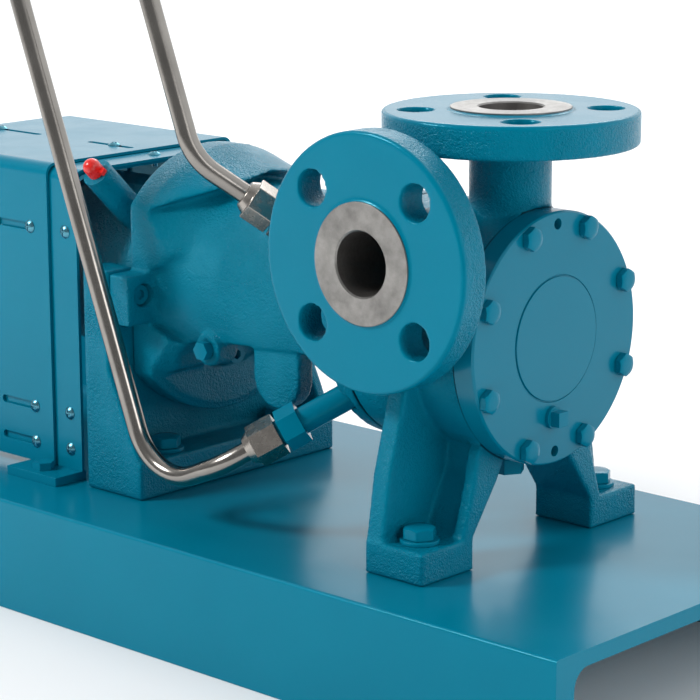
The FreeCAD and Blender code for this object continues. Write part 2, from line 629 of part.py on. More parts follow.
def seal_parts():
    """The shaft sleeve, the mechanical seal on it and the gland that closes its chamber."""
    ring("shaft_sleeve", "sleeve_front", "sleeve_rear", "shaft_radius", "sleeve_radius")
    ring("seal_rotating_face", "seal_face_front", "seal_face", "sleeve_radius", "23")
    ring("seal_seat", "seal_face", "casing_rear + 5", "19", "24")
    coils = []
    for index in range(4):
        coil = doc.addObject("Part::Torus", f"seal_coil_{index}")
        bind(coil, Radius1="20.5", Radius2="1.2")
        coils.append(put(coil, f"-(seal_face_front - 1.3 - {index} * 2.6)", turn=ALONG_X))
    keep(group("seal_coils", coils), "seal_spring", "shaft")
    ring("seal_drive_collar", "seal_collar_front", "seal_collar_front + 5", "sleeve_radius", "23")
    plate = turned("gland_body", [
        ("-casing_rear", "24"), ("-casing_rear", "gland_radius"),
        ("-(casing_rear + gland_thick)", "gland_radius"), ("-(casing_rear + gland_thick)", "19"),
        ("-(casing_rear + 5)", "19"), ("-(casing_rear + 5)", "24")])
    hole = pocket(plate, "gland_hole", [("0", "gland_circle / 2", "gland_screw_r + 0.3")])
    repeat_round(plate, "gland_holes", hole, 4)
    keep(plate, "seal_gland", "shaft")
    screws = []
    for index in range(4):
        y, z = on_circle("gland_circle", 90 * index)
        screws.append(hex_bolt(f"gland_screw_{index}", 10, 4, "gland_screw_r",
                               "gland_thick + 10", "-(casing_rear + gland_thick)", y, z, BACK_X))
    keep(group("gland_screw_set", screws), "gland_screws", "shaft")


def bracket_solid():
    """The cast bracket: a ring at the casing, an open-bottomed barrel, a taper and a rear disc."""
    body = turned("bracket_turned", [
        ("-casing_rear", "ring_bore"), ("-casing_rear", "casing_radius"),
        ("-ring_rear", "casing_radius"), ("-ring_rear", "barrel_radius"),
        ("-barrel_rear", "barrel_radius"), ("-disc_front", "taper_end"),
        ("-disc_front", "bracket_disc"), ("-disc_rear", "bracket_disc"),
        ("-disc_rear", "bracket_bore"), ("-(disc_front)", "bracket_bore"),
        ("-(disc_front)", "barrel_bore"), ("-ring_rear", "barrel_bore"),
        ("-ring_rear", "ring_bore")])
    put(body, 0, 0, "shaft_high")
    flats = [box(f"{word}_flat", (f"-disc_rear - 1", low, "0"), ("-barrel_rear + 10", high, "300"))
             for word, low, high in (("near", "-150", "-flat_half"), ("far", "flat_half", "150"))]
    window = extruded("bracket_window", "XZ_Plane", [
        ("-window_front", "20"), ("-window_rear", "20"), ("-window_rear", "lobe_low"),
        ("-(window_rear - 11)", "lobe_low + 5"), ("-(window_rear - 16)", "lobe_low + 16"),
        ("-(window_rear - 24)", "window_edge - 4"), ("-(window_rear - 50)", "window_edge"), ("-(window_front + 34)", "window_edge + 5"),
        ("-window_front", "window_edge + 3")], "220", middle=True)
    return fuse("bracket_hooded", cut("bracket_open", body, *flats, *bracket_waists(), window),
                bracket_hood())


def bracket_waists():
    """Cutters that take the taper off beside each ear, and leave a lobe above and below it."""
    outline = [("-(disc_front)", "ear_top + 2"), ("-(disc_front - 9)", "ear_top + 5"),
               ("-(disc_front - 17)", "ear_top + 12"), ("-barrel_rear + 2", "ear_top + 15"),
               ("-barrel_rear + 2", "ear_low - 13"), ("-(disc_front - 17)", "ear_low - 10"),
               ("-(disc_front - 9)", "ear_low - 5"),
               ("-(disc_front)", "ear_low - 2")]
    barrel = cylinder("waist_barrel", "barrel_radius + 0.1", 120, "-disc_rear", 0, "shaft_high", ALONG_X)
    sides = [put(extruded(f"{word}_waist", "XZ_Plane", outline, "60"), 0, y, 0)
             for word, y in (("near", "-barrel_bore"), ("far", "barrel_bore + 60"))]
    return [cut(f"waist_{index}", side, barrel) for index, side in enumerate(sides)]


def bracket_hood():
    """The hood over the barrel's rear: a longer taper, kept only above a slanting edge on each side."""
    cone = turned("hood_cone", [
        ("-disc_front - 1", "barrel_bore + 1"), ("-disc_front - 1", "bracket_disc"),
        ("-disc_front", "bracket_disc"), ("-hood_front", "barrel_radius - 0.5"),
        ("-hood_front", "barrel_bore + 1")])
    put(cone, 0, 0, "shaft_high")
    above = extruded("hood_above", "YZ_Plane", [
        ("-120", "hood_edge - 14"), ("-flat_half", "hood_edge"), ("0", "hood_edge + 12"),
        ("flat_half", "hood_edge"), ("120", "hood_edge - 14"), ("120", "300"), ("-120", "300")],
        "200")
    put(above, "-disc_rear", 0, 0, Rotation(Vector(0, 1, 0), -HOOD_RISE))
    hood = doc.addObject("Part::Common", "hood")
    hood.Base, hood.Tool = cone, above
    flats = [box(f"{word}_hood_flat", ("-disc_rear - 1", low, "0"), ("-hood_front + 10", high, "300"))
             for word, low, high in (("near", "-150", "-flat_half"), ("far", "flat_half", "150"))]
    return cut("hood_trimmed", hood, *flats)


def bearing_bracket():
    pieces = [bracket_solid()]
    for side, word in ((-1, "near"), (1, "far")):
        inner, face = f"{side} * (tongue_face - 14)", f"{side} * tongue_face"
        low, high = (face, inner) if side < 0 else (inner, face)
        pieces.append(cylinder(f"{word}_tongue", "tongue_r", 14, "-tongue_back", low, "tongue_up",
                               ALONG_Y))
        pieces.append(box(f"{word}_tongue_root", ("-tongue_back - tongue_r", low, "tongue_up"),
                          ("-tongue_back + tongue_r", high, "tongue_up + 24")))
        ear_low, ear_high = ("-ear_half", "-barrel_bore") if side < 0 else ("barrel_bore", "ear_half")
        pieces.append(box(f"{word}_ear", ("-ear_rear", ear_low, "ear_low"),
                          ("-disc_front", ear_high, "ear_top")))
    pieces.append(cylinder("plug_boss", 11, 18, "-bracket_plug_back", "-68", "bracket_plug_up",
                           ALONG_Y))
    for word, way in PORT_WAY.items():
        pieces.append(cylinder(f"{word}_port_boss", 13, 18, *along(PORT_SEAT[word], way, -18),
                               PORT_TURN[word]))
    tools = [cylinder(f"{word}_ear_hole", 4.5, 40, "-(ear_rear + 5)", f"{side} * ear_hole",
                      "ear_hole_up", ALONG_X) for side, word in ((-1, "near"), (1, "far"))]
    tools += [cylinder(f"{word}_ear_sink", 7.5, 10, "-(disc_front + 9)", f"{side} * ear_hole",
                       "ear_hole_up", ALONG_X) for side, word in ((-1, "near"), (1, "far"))]
    for word, way in PORT_WAY.items():
        tools.append(cylinder(f"{word}_port_tap", "nipple_r", 40, *along(PORT_SEAT[word], way, -32),
                              PORT_TURN[word]))
    tools.append(box("casing_side", ("-casing_rear", "-120", "0"), ("0", "120", "300")))
    tools.append(cylinder("bracket_plug_hole", 5, 22, "-bracket_plug_back", "-69",
                          "bracket_plug_up", ALONG_Y))
    tools += taps("bracket_hole", "bracket_circle", 0, 4, "small_r + 0.4", 20, "-(ring_rear + 1)")
    tools += taps("housing_hole", "housing_circle", 0, 4, "small_r + 0.4", 30, "-(disc_rear + 1)")
    keep(cut("bracket_cut", fuse("bracket_joined", *pieces), *tools), "bearing_bracket")


def bracket_fasteners():
    bolts, screws = [], []
    for index in range(4):
        y, z = on_circle("bracket_circle", 90 * index)
        bolts.append(cap_screw(f"bracket_screw_{index}", 6.5, 8, "small_r", "ring_rear - casing_rear + 11",
                               "-ring_rear", y, z, BACK_X))
        y, z = on_circle("housing_circle", 90 * index)
        screws.append(cap_screw(f"housing_screw_{index}", 6.5, 8, "small_r", "disc_rear - disc_front + 10",
                                "-disc_front", y, z, ALONG_X))
    for side, word in ((-1, "near"), (1, "far")):
        bolts.append(cap_screw(f"{word}_ear_screw", 6.5, 5, "small_r", 32, "-(disc_front + 9)",
                               f"{side} * ear_hole", "ear_hole_up - shaft_high", ALONG_X))
    keep(group("bracket_screw_set", bolts), "bracket_screws", "shaft")
    keep(group("housing_screw_set", screws), "housing_screws", "shaft")
    head = prism("bracket_plug_head", 11, 6, turn=TOWARDS_SUCTION)
    shank = cylinder("bracket_plug_shank", 5, 14, 0, 0, 0, ALONG_Y)
    keep(group("bracket_plug_set", [put(fuse("bracket_plug_whole", head, shank),
                                        "-bracket_plug_back", "-68", "bracket_plug_up")]),
         "bracket_plug")


def bearing_housing():
    """The oil-lubricated housing: a spigot in the bracket, a drum behind it, a filler on top."""
    body = turned("housing_turned", [
        ("-housing_front", "bearing_outer"), ("-housing_front", "housing_spigot"),
        ("-disc_rear", "housing_spigot"), ("-disc_rear", "housing_flange"),
        ("-(disc_rear + 12)", "housing_flange"), ("-(disc_rear + 12)", "housing_radius"),
        ("-housing_rear", "housing_radius"), ("-housing_rear", "bearing_outer"),
        ("-(rear_bearing - bearing_wide - 4)", "bearing_outer"),
        ("-(rear_bearing - bearing_wide - 4)", "oil_chamber"),
        ("-(disc_rear + 14)", "oil_chamber"), ("-(disc_rear + 14)", "bearing_outer")])
    turn = Rotation(Vector(1, 0, 0), 90 - number("filler_angle"))
    boss = cylinder("filler_boss", "filler_radius", "filler_end - housing_radius + 5",
                    "-filler_back", "-(housing_radius - 5) * cos(filler_angle)",
                    "(housing_radius - 5) * sin(filler_angle)", turn)
    bore = cylinder("filler_bore", 5, "filler_end - oil_chamber + 10", "-filler_back",
                    "-(oil_chamber - 5) * cos(filler_angle)",
                    "(oil_chamber - 5) * sin(filler_angle)", turn)
    tapped = []
    for index in range(4):
        y, z = on_circle("housing_circle", 90 * index)
        tapped.append(cylinder(f"flange_tap_{index}", "small_r", 12, "-(disc_rear + 11)", y, z,
                               ALONG_X))
    keep(cut("housing_cut", fuse("housing_joined", body, boss), bore, *tapped),
         "bearing_housing", "shaft")
    dome = doc.addObject("Part::Sphere", "cap_dome")
    bind(dome, Radius="cap_radius")
    put(dome, 0, 0, "cap_high - 1")
    skirt = cylinder("cap_skirt", "cap_radius", "cap_high")
    stem = cylinder("cap_stem", 4.8, 9, 0, 0, -8)
    tab = box("cap_tab", ("0", "-2", "1"), ("cap_radius + 3.5", "2", "4"))
    below = box("cap_trim", ("-12", "-12", "-20"), ("12", "12", "-8"))
    whole = cut("cap_whole", fuse("cap_joined", dome, skirt, stem, tab), below)
    put(whole, "-filler_back", "-filler_end * cos(filler_angle)", "filler_end * sin(filler_angle)",
        turn)
    keep(group("cap_set", [whole]), "oil_filler_cap", "shaft")


def bearings():
    for word, rear in (("front", "front_bearing"), ("rear", "rear_bearing")):
        front = f"{rear} - bearing_wide"
        middle = f"{rear} - bearing_wide / 2"
        inner = turned(f"{word}_inner_blank", band(front, rear, "bearing_bore", "21"))
        outer = turned(f"{word}_outer_blank", band(front, rear, "30", "bearing_outer"))
        for ring_body, node in ((inner, f"{word}_bearing_inner_ring"),
                                (outer, f"{word}_bearing_outer_ring")):
            race = doc.addObject("Part::Torus", f"{node}_race")
            bind(race, Radius1="ball_circle_r", Radius2="ball_radius + 0.05")
            put(race, f"-({middle})", turn=ALONG_X)
            keep(cut(f"{node}_ground", ring_body, race), node, "shaft")
        cage = turned(f"{word}_cage_blank", band(f"{middle} - 3", f"{middle} + 3", "24", "27"))
        balls = []
        for index in range(int(number("ball_count"))):
            ball = doc.addObject("Part::Sphere", f"{word}_ball_{index}")
            bind(ball, Radius="ball_radius - 0.05")
            y, z = on_circle("2 * ball_circle_r", index * 45)
            balls.append(put(ball, f"-({middle})", y, z))
        keep(fuse(f"{word}_ball_row", cage, *balls), f"{word}_ball_set", "shaft")


def bearing_covers():
    ring("front_lip_seal", "housing_front", "housing_front + 8", "shaft_radius + 0.05",
         "bearing_outer")
    ring("bearing_lock_nut", "rear_bearing", "rear_bearing + 8", "bearing_seat", "21")
    plate = turned("rear_cover_body", [
        ("-housing_rear", "24"), ("-housing_rear", "housing_radius"),
        ("-(housing_rear + 8)", "housing_radius"), ("-(housing_rear + 8)", "22"),
        ("-(housing_rear + 2)", "22"), ("-(housing_rear + 2)", "24")])
    hole = pocket(plate, "rear_cover_hole", [("0", "rear_cover_circle / 2", "3.3")])
    repeat_round(plate, "rear_cover_holes", hole, 4)
    keep(plate, "bearing_end_cover", "shaft")
    ring("rear_lip_seal", "housing_rear + 2.1", "housing_rear + 8", "shaft_radius + 0.05", "21.9")
    screws = []
    for index in range(4):
        y, z = on_circle("rear_cover_circle", 90 * index)
        screws.append(hex_bolt(f"end_cover_screw_{index}", 10, 4, 3, 7, "-(housing_rear + 8)",
                               y, z, BACK_X))
    keep(group("end_cover_screw_set", screws), "bearing_cover_screws", "shaft")
    ring("slinger", "slinger_front", "slinger_front + 6", "shaft_radius", "30")


def rear_pedestal():
    upright = extruded("pedestal_upright", "YZ_Plane", [
        ("-pedestal_half", "0"), ("pedestal_half", "0"), ("pedestal_half", "pedestal_top"),
        ("-pedestal_half", "pedestal_top")], "pedestal_rear - pedestal_face")
    put(upright, "-pedestal_rear")
    notch = cylinder("pedestal_bowl", "pedestal_notch", 60, "-pedestal_rear - 10", 0, "shaft_high",
                     ALONG_X)
    above = box("pedestal_gap", ("-pedestal_rear - 10", "-pedestal_notch", "shaft_high"),
                ("-pedestal_face + 10", "pedestal_notch", "pedestal_top + 10"))
    shelf = box("pedestal_shelf", ("-pedestal_face - 1", "-pedestal_half", "0"),
                ("-pedestal_toe", "pedestal_half", "pedestal_foot"))
    gussets = []
    for side, word in ((-1, "near"), (1, "far")):
        gusset = extruded(f"{word}_gusset", "XZ_Plane", [
            ("-pedestal_toe", "0"), ("-pedestal_toe", "pedestal_foot - 3"),
            ("-pedestal_face - 4", "92"), ("-pedestal_face - 10", "92"),
            ("-pedestal_face - 10", "0")], "gusset_thick", reversed_way=side > 0)
        gussets.append(put(gusset, 0, f"{side} * (pedestal_half - gusset_thick)"
                           if side < 0 else "pedestal_half - gusset_thick"))
    tools = [notch, above]
    for side, word in ((-1, "near"), (1, "far")):
        tools.append(cylinder(f"{word}_pedestal_hole", "foot_bolt_r + 0.6", 60,
                              "-pedestal_bolt_back", f"{side} * pedestal_bolt_y", -2))
        tools.append(cylinder(f"{word}_ear_tap", 4, 30, "-(disc_rear + 26)", f"{side} * ear_hole",
                              "ear_hole_up", ALONG_X))
    keep(cut("pedestal_cut", fuse("pedestal_joined", upright, shelf, *gussets), *tools),
         "rear_pedestal")


def hold_downs():
    """Bolts, washers and nuts that hold both feet and the pedestal to the channel's web."""
    bolts, washers, nuts = [], [], []
    spots = [(f"-{back}", f"{side} * {across}", top) for side in (-1, 1) for back, across, top in (
        ("foot_bolt_back", "foot_bolt_y", "foot_high"),
        ("pedestal_bolt_back", "pedestal_bolt_y", "pedestal_foot"))]
    for index, (x, y, top) in enumerate(spots):
        bolts.append(hex_bolt(f"hold_down_bolt_{index}", "foot_across", "foot_head", "foot_bolt_r",
                              f"{top} + washer_thick + web_thick + 16", x, y,
                              f"{top} + washer_thick", None))
        washers.append(washer(f"hold_down_washer_{index}", "washer_r", "foot_bolt_r + 0.4",
                              "washer_thick", x, y, top))
        blank = prism(f"hold_down_nut_{index}", "foot_across", 10, x, y, "-web_thick - 10")
        hole = cylinder(f"hold_down_nut_hole_{index}", "foot_bolt_r", 20, x, y, "-web_thick - 15")
        nuts.append(cut(f"hold_down_nut_cut_{index}", blank, hole))
    keep(group("hold_down_bolt_set", bolts), "hold_down_bolts")
    keep(group("hold_down_washer_set", washers), "hold_down_washers")
    keep(group("hold_down_nut_set", nuts), "hold_down_nuts")


def jaws(name, sign, start):
    """Three jaws on one coupling half, the two halves' jaws half a step apart."""
    pieces = []
    for index in range(3):
        blank = box(f"{name}_jaw_{index}", ("0", "-jaw_half", "jaw_inner"),
                    ("jaw_long", "jaw_half", "hub_outer - 1"))
        turn = Rotation(Vector(1, 0, 0), 120 * index + (0 if sign > 0 else 60))
        pieces.append(put(group(f"{name}_jaw_turned_{index}", [blank]), start, 0, 0, turn))
    return pieces


def coupling():
    """A jaw coupling: the pump's half, the elastic spider and the motor's half."""
    front = turned("pump_hub_body", band("pump_hub_front", "jaw_start", "coupling_seat", "hub_outer"))
    way = box("pump_hub_keyway", ("-shaft_end - 5", "-key_wide / 2", "0"),
              ("0", "key_wide / 2", "coupling_seat + 2.8"))
    toothed = fuse("pump_hub_joined", front, *jaws("pump_hub", 1, "-(jaw_start + jaw_long)"))
    keep(cut("pump_hub_cut", toothed, way), "pump_coupling_hub", "shaft")
    rear = turned("motor_hub_body", band("jaw_start + jaw_long + 2", "motor_hub_rear", "motor_bore",
                                         "hub_outer"))
    motor_jaws = jaws("motor_hub", -1, "-(jaw_start + jaw_long + 2)")
    keep(fuse("motor_hub_joined", rear, *motor_jaws), "motor_coupling_hub", "shaft")
    arms = [cylinder("spider_ring", "jaw_inner - spider_clear", "jaw_long - 2",
                     "-(jaw_start + jaw_long)", turn=ALONG_X)]
    for index in range(6):
        blank = box(f"spider_arm_{index}", ("0", "-spider_arm", "0"),
                    ("jaw_long - 2", "spider_arm", "hub_outer - 2"))
        turn = Rotation(Vector(1, 0, 0), 30 + 60 * index)
        arms.append(put(group(f"spider_arm_turned_{index}", [blank]), "-(jaw_start + jaw_long)", 0, 0,
                        turn))
    keep(fuse("spider_joined", *arms), "coupling_spider", "shaft")


def shell(name, half, top, front, rear, low):
    """A sheet-metal shell: two sides and a top, bent with rounded corners, open below."""
    inner_half, inner_top = f"{half} - sheet_thick", f"{top} - sheet_thick"
    body = extruded(name, "YZ_Plane", [
        (f"-({half})", low), (f"-({half})", top), (half, top), (half, low), (inner_half, low),
        (inner_half, inner_top), (f"-({inner_half})", inner_top), (f"-({inner_half})", low)],
        f"({rear}) - ({front})")

    def bend(outside):
        side, level = (half, top) if outside else (inner_half, inner_top)
        wide, high = number(side), number(level)

        def wanted(edge):
            centre = edge.CenterOfMass
            return abs(abs(centre.y) - wide) < 0.01 and abs(centre.z - high) < 0.01
        return wanted

    soften(body, f"{name}_outer_bend", "bend_radius", bend(True))
    soften(body, f"{name}_inner_bend", "bend_radius - sheet_thick", bend(False))
    return put(body, f"-({rear})")


def slot(name, front, rear, across, up, turn):
    """A cutter for a slot along X, between the centres of its two round ends."""
    ends = [cylinder(f"{name}_end_{i}", "slot_r", 20, f"-({x})", across, up, turn)
            for i, x in enumerate((front, rear))]
    if turn is None:
        low = (f"-({rear})", f"{across} - slot_r", up)
        high = (f"-({front})", f"{across} + slot_r", f"{up} + 20")
    else:
        low = (f"-({rear})", across, f"{up} - slot_r")
        high = (f"-({front})", f"{across} + 20", f"{up} + slot_r")
    return ends + [box(f"{name}_middle", low, high)]


def screw_holes(name, rows):
    """Cutters for screws down both sides of a shell and on its top, at each row's two stations."""
    cutters = []
    for side_x, top_x in rows:
        for index, up in enumerate(SCREW_ROWS):
            cutters.append(cylinder(f"{name}_across_{side_x}_{index}", "screw_r", 200,
                                    f"-({side_x})", "-100", up, ALONG_Y))
        cutters.append(cylinder(f"{name}_top_{top_x}", "screw_r", 30, f"-({top_x})", 0,
                                "inner_top - 20"))
    return cutters


def guard():
    front = shell("end_shell", "inner_half", "inner_top", "end_front", "end_rear", "shell_low")
    rows = (("frame_row", "frame_row_top"), ("front_row", "front_row_top"))
    keep(cut("end_cut", front, *screw_holes("end_hole", rows)), "guard_pump_end")
    middle = shell("middle_shell", "outer_half", "outer_top", "middle_front", "middle_rear",
                   "shell_low")
    cutters = slot("top_front_slot", "front_row_top - 16", "front_row_top + 24", "0",
                   "outer_top - 10", None)
    cutters += slot("top_rear_slot", "rear_row_top - 40", "rear_row_top", "0",
                    "outer_top - 10", None)
    for side, across in (("near", "-outer_half - 8"), ("far", "outer_half - 12")):
        for index, up in enumerate(SCREW_ROWS):
            cutters += slot(f"{side}_front_slot_{index}", "front_row", "front_row + slot_long",
                            across, up, ALONG_Y)
            cutters += slot(f"{side}_rear_slot_{index}", "rear_row + 1 - slot_long", "rear_row + 1",
                            across, up, ALONG_Y)
    keep(cut("middle_cut", middle, *cutters), "guard_middle")
    rear = shell("motor_shell", "inner_half", "inner_top", "motor_shell_front",
                 "motor_shell_rear", "shell_low")
    keep(cut("motor_cut", rear, *screw_holes("motor_hole", (("rear_row", "rear_row_top"),))),
         "guard_motor_end")
    frame = shell("end_frame", "inner_half - sheet_thick", "inner_top - sheet_thick",
                  "end_front + 2", "end_front + 22", "shell_low + 6")
    keep(cut("frame_cut", frame, *screw_holes("frame_hole", rows[:1])),
         "guard_end_frame")


def screw_row(name, x, half, top, top_x):
    """Small pan-head screws down both sides of a shell and one on its top."""
    screws = [pan_screw(f"{name}_top", f"-({top_x})", 0, top, None)]
    for side, turn in ((-1, TOWARDS_SUCTION), (1, ALONG_Y)):
        for index, up in enumerate(SCREW_ROWS):
            screws.append(pan_screw(f"{name}_{side + 1}_{index}", f"-({x})", f"{side} * ({half})",
                                    up, turn))
    return screws


def guard_fasteners():
    fixed = screw_row("frame_screw", "frame_row", "inner_half", "inner_top", "frame_row_top")
    fixed += screw_row("front_screw", "front_row", "outer_half + 0.05", "outer_top + 0.05",
                       "front_row_top")
    keep(group("fixed_screw_set", fixed), "guard_screws")
    sliding = screw_row("rear_screw", "rear_row", "outer_half + 0.05", "outer_top + 0.05",
                        "rear_row_top")
    keep(group("sliding_screw_set", sliding), "guard_slide_screws")
    feet = []
    bolts = []
    for side, word in ((-1, "near"), (1, "far")):
        near, far = f"{side} * inner_half", f"{side} * guard_foot_half"
        low, high = (far, near) if side < 0 else (near, far)
        plate = box(f"{word}_guard_foot_plate", ("-guard_foot_back", low, "0"),
                    ("-end_front - 1", high, "guard_foot_thick"))
        hole = cylinder(f"{word}_guard_foot_hole", 4.4, 20, "-guard_bolt_back",
                        f"{side} * guard_foot_hole", "-5")
        upstand = box(f"{word}_guard_foot_tab",
                      ("-guard_foot_back",
                       "inner_half - sheet_thick - 2.2" if side > 0 else "-inner_half", "0"),
                      ("-end_front - 1", "inner_half" if side > 0 else
                       "-(inner_half - sheet_thick - 2.2)", "guard_foot_thick"))
        feet.append(cut(f"{word}_guard_foot", fuse(f"{word}_guard_foot_joined", plate, upstand), hole))
        bolts.append(hex_bolt(f"{word}_guard_bolt", "small_across", "small_head", "small_r",
                              "guard_foot_thick + web_thick", "-guard_bolt_back",
                              f"{side} * guard_foot_hole", "guard_foot_thick", None))
    keep(group("guard_foot_pair", feet), "guard_feet")
    keep(group("guard_bolt_pair", bolts), "guard_foot_bolts")


def tube(node, points, bends):
    """A stainless tube along straight runs joined by round bends, hollow from end to end."""
    spots = [Vector(*point) for point in points]
    edges = []
    start = spots[0]
    for before, corner, after, radius in zip(spots, spots[1:], spots[2:], bends):
        inward = (corner - before).normalize()
        outward = (after - corner).normalize()
        half = inward.getAngle(outward) / 2
        reach = radius * math.tan(half)
        begin, end = corner - inward * reach, corner + outward * reach
        centre_way = (outward - inward).normalize()
        middle = corner + centre_way * (radius / math.cos(half) - radius)
        edges += [Part.LineSegment(start, begin).toShape(), Part.Arc(begin, middle, end).toShape()]
        start = end
    edges.append(Part.LineSegment(start, spots[-1]).toShape())
    path = Part.Wire(edges)
    way = (spots[1] - spots[0]).normalize()
    radius = number("tube_radius")
    outer = Part.Wire([Part.makeCircle(radius, spots[0], way)])
    inner = Part.Wire([Part.makeCircle(radius - number("tube_wall"), spots[0], way)])
    solid = path.makePipeShell([outer], True, True).cut(path.makePipeShell([inner], True, True))
    piece = doc.addObject("Part::Feature", f"{node}_swept")
    piece.Shape = solid
    keep(piece, node)


def fitting(word, seat, length):
    """A threaded nipple with a hexagon, and the compression nut that grips the tube."""
    turn = PORT_TURN[word]
    pipe = cylinder(f"{word}_nipple_pipe", "nipple_r", length + 10, z=-10)
    hexagon = prism(f"{word}_nipple_hex", "nipple_across", 14, z=length - 16)
    bore = cylinder(f"{word}_nipple_bore", "tube_radius", 60, z=length - 8)
    passage = cylinder(f"{word}_nipple_passage", 4, 80, z=-20)
    whole = cut(f"{word}_nipple_cut", fuse(f"{word}_nipple_joined", pipe, hexagon), bore, passage)
    put(whole, *seat, turn)
    keep(group(f"{word}_nipple_set", [whole]), f"{word}_nipple")
    nut = prism(f"{word}_nut_hex", "nut_across", "nut_long", z=length)
    hub = doc.addObject("Part::Cone", f"{word}_nut_hub")
    bind(hub, Radius1="nut_across / 2 - 0.5", Radius2="tube_radius + 2.2", Height="5")
    put(hub, z=f"{length} + nut_long")
    nut_bore = cylinder(f"{word}_nut_bore", "tube_radius", 60, z=length - 5)
    closed = cut(f"{word}_nut_cut", fuse(f"{word}_nut_joined", nut, hub), nut_bore)
    put(closed, *seat, turn)
    keep(group(f"{word}_nut_set", [closed]), f"{word}_tube_nut")


def seal_piping():
    for word, way in PORT_WAY.items():
        seat, length = PORT_SEAT[word], NIPPLE_LONG[word]
        fitting(word, seat, length)
        corners = [along(seat, way, length - 7.5), along(seat, way, TUBE_REACH[word])]
        tube(f"{word}_seal_tube", corners + TUBE_CORNERS[word], TUBE_BENDS[word])

channel_base()
motor_pads()
end_cover()
cover_ring()
cover_bolts()
cover_plug()
pump_casing()
drain_plug()
liners()
impeller()
impeller_nut()
shaft()
seal_parts()
bearing_bracket()
bracket_fasteners()
bearing_housing()
bearings()
bearing_covers()
rear_pedestal()
hold_downs()
coupling()
guard()
guard_fasteners()
seal_piping()

doc.recompute()
failed = [piece.Label for piece in doc.Objects
          if {"Invalid", "Error"} & set(piece.State)]
empty = [piece.Label for piece in nodes if piece.Shape.isNull() or not piece.Shape.isValid()]
if failed or empty:
    raise RuntimeError(f"failed: {failed}, empty or invalid: {empty}")

os.makedirs("parts", exist_ok=True)
for piece in nodes:
    piece.Shape.exportStep(f"parts/{piece.Label}.step")
print(len(nodes), "sub-parts written")
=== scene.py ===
import json
import math

import bmesh
import bpy
import numpy as np
from mathutils import Matrix, Vector


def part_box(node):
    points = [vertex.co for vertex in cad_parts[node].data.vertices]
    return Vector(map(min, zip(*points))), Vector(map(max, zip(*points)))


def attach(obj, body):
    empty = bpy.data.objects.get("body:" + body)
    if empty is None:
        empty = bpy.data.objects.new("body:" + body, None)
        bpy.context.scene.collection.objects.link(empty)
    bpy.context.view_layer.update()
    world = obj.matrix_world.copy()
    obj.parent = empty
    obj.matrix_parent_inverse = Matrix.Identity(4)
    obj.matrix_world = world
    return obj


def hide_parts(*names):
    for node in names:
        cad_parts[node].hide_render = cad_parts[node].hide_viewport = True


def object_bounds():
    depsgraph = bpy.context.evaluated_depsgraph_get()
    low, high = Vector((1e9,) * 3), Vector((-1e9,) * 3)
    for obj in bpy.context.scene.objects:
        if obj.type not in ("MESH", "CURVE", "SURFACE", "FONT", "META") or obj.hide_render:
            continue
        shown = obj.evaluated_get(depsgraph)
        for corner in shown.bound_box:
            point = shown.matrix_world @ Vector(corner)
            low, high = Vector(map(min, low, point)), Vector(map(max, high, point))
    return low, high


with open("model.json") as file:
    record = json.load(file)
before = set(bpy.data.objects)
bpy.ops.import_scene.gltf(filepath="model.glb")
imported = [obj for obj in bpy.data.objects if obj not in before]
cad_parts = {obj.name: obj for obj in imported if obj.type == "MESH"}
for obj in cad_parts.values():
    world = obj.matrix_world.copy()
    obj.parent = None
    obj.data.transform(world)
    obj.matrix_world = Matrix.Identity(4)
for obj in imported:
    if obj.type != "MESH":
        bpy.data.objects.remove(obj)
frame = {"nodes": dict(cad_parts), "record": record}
CAD_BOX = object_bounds()
NODES = frame["nodes"]
MOUNTS = {mount["name"]: mount for mount in frame["record"]["mounts"]}
MM = 0.001

SUCTION = Vector(MOUNTS["suction_bore"]["pos_m"])
DISCHARGE = Vector(MOUNTS["discharge_bore"]["pos_m"])
SHAFT_Z = MOUNTS["motor_shaft_bore"]["pos_m"][2]
FLANGE_BORE = 19.6 * MM
RAISED_RADIUS = 36.5 * MM
RAISED_HIGH = 1.6 * MM
CROWN = 0.35 * MM  # the dome on a bolt head
FOOT_TOP = 77.5 * MM

# The round joints of the casing, along X, and how far from the shaft the painted shade lines at them
# reach.
SPIGOT_LONG = 5 * MM
COVER_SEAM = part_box("end_cover")[0][0] + SPIGOT_LONG
BRACKET_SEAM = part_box("bearing_bracket")[1][0]
DRUM_RADIUS = (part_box("end_cover")[1][2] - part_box("end_cover")[0][2]) / 2
SEAM_RADIUS = DRUM_RADIUS + 0.4 * MM

# The hood runs along X from the bracket's disc towards the casing.
HOOD_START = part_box("bearing_bracket")[0][0] + 27 * MM
HOOD_END = HOOD_START + 105 * MM
BLEND_PASSES = 90


# ---------------------------------------------------------------- materials

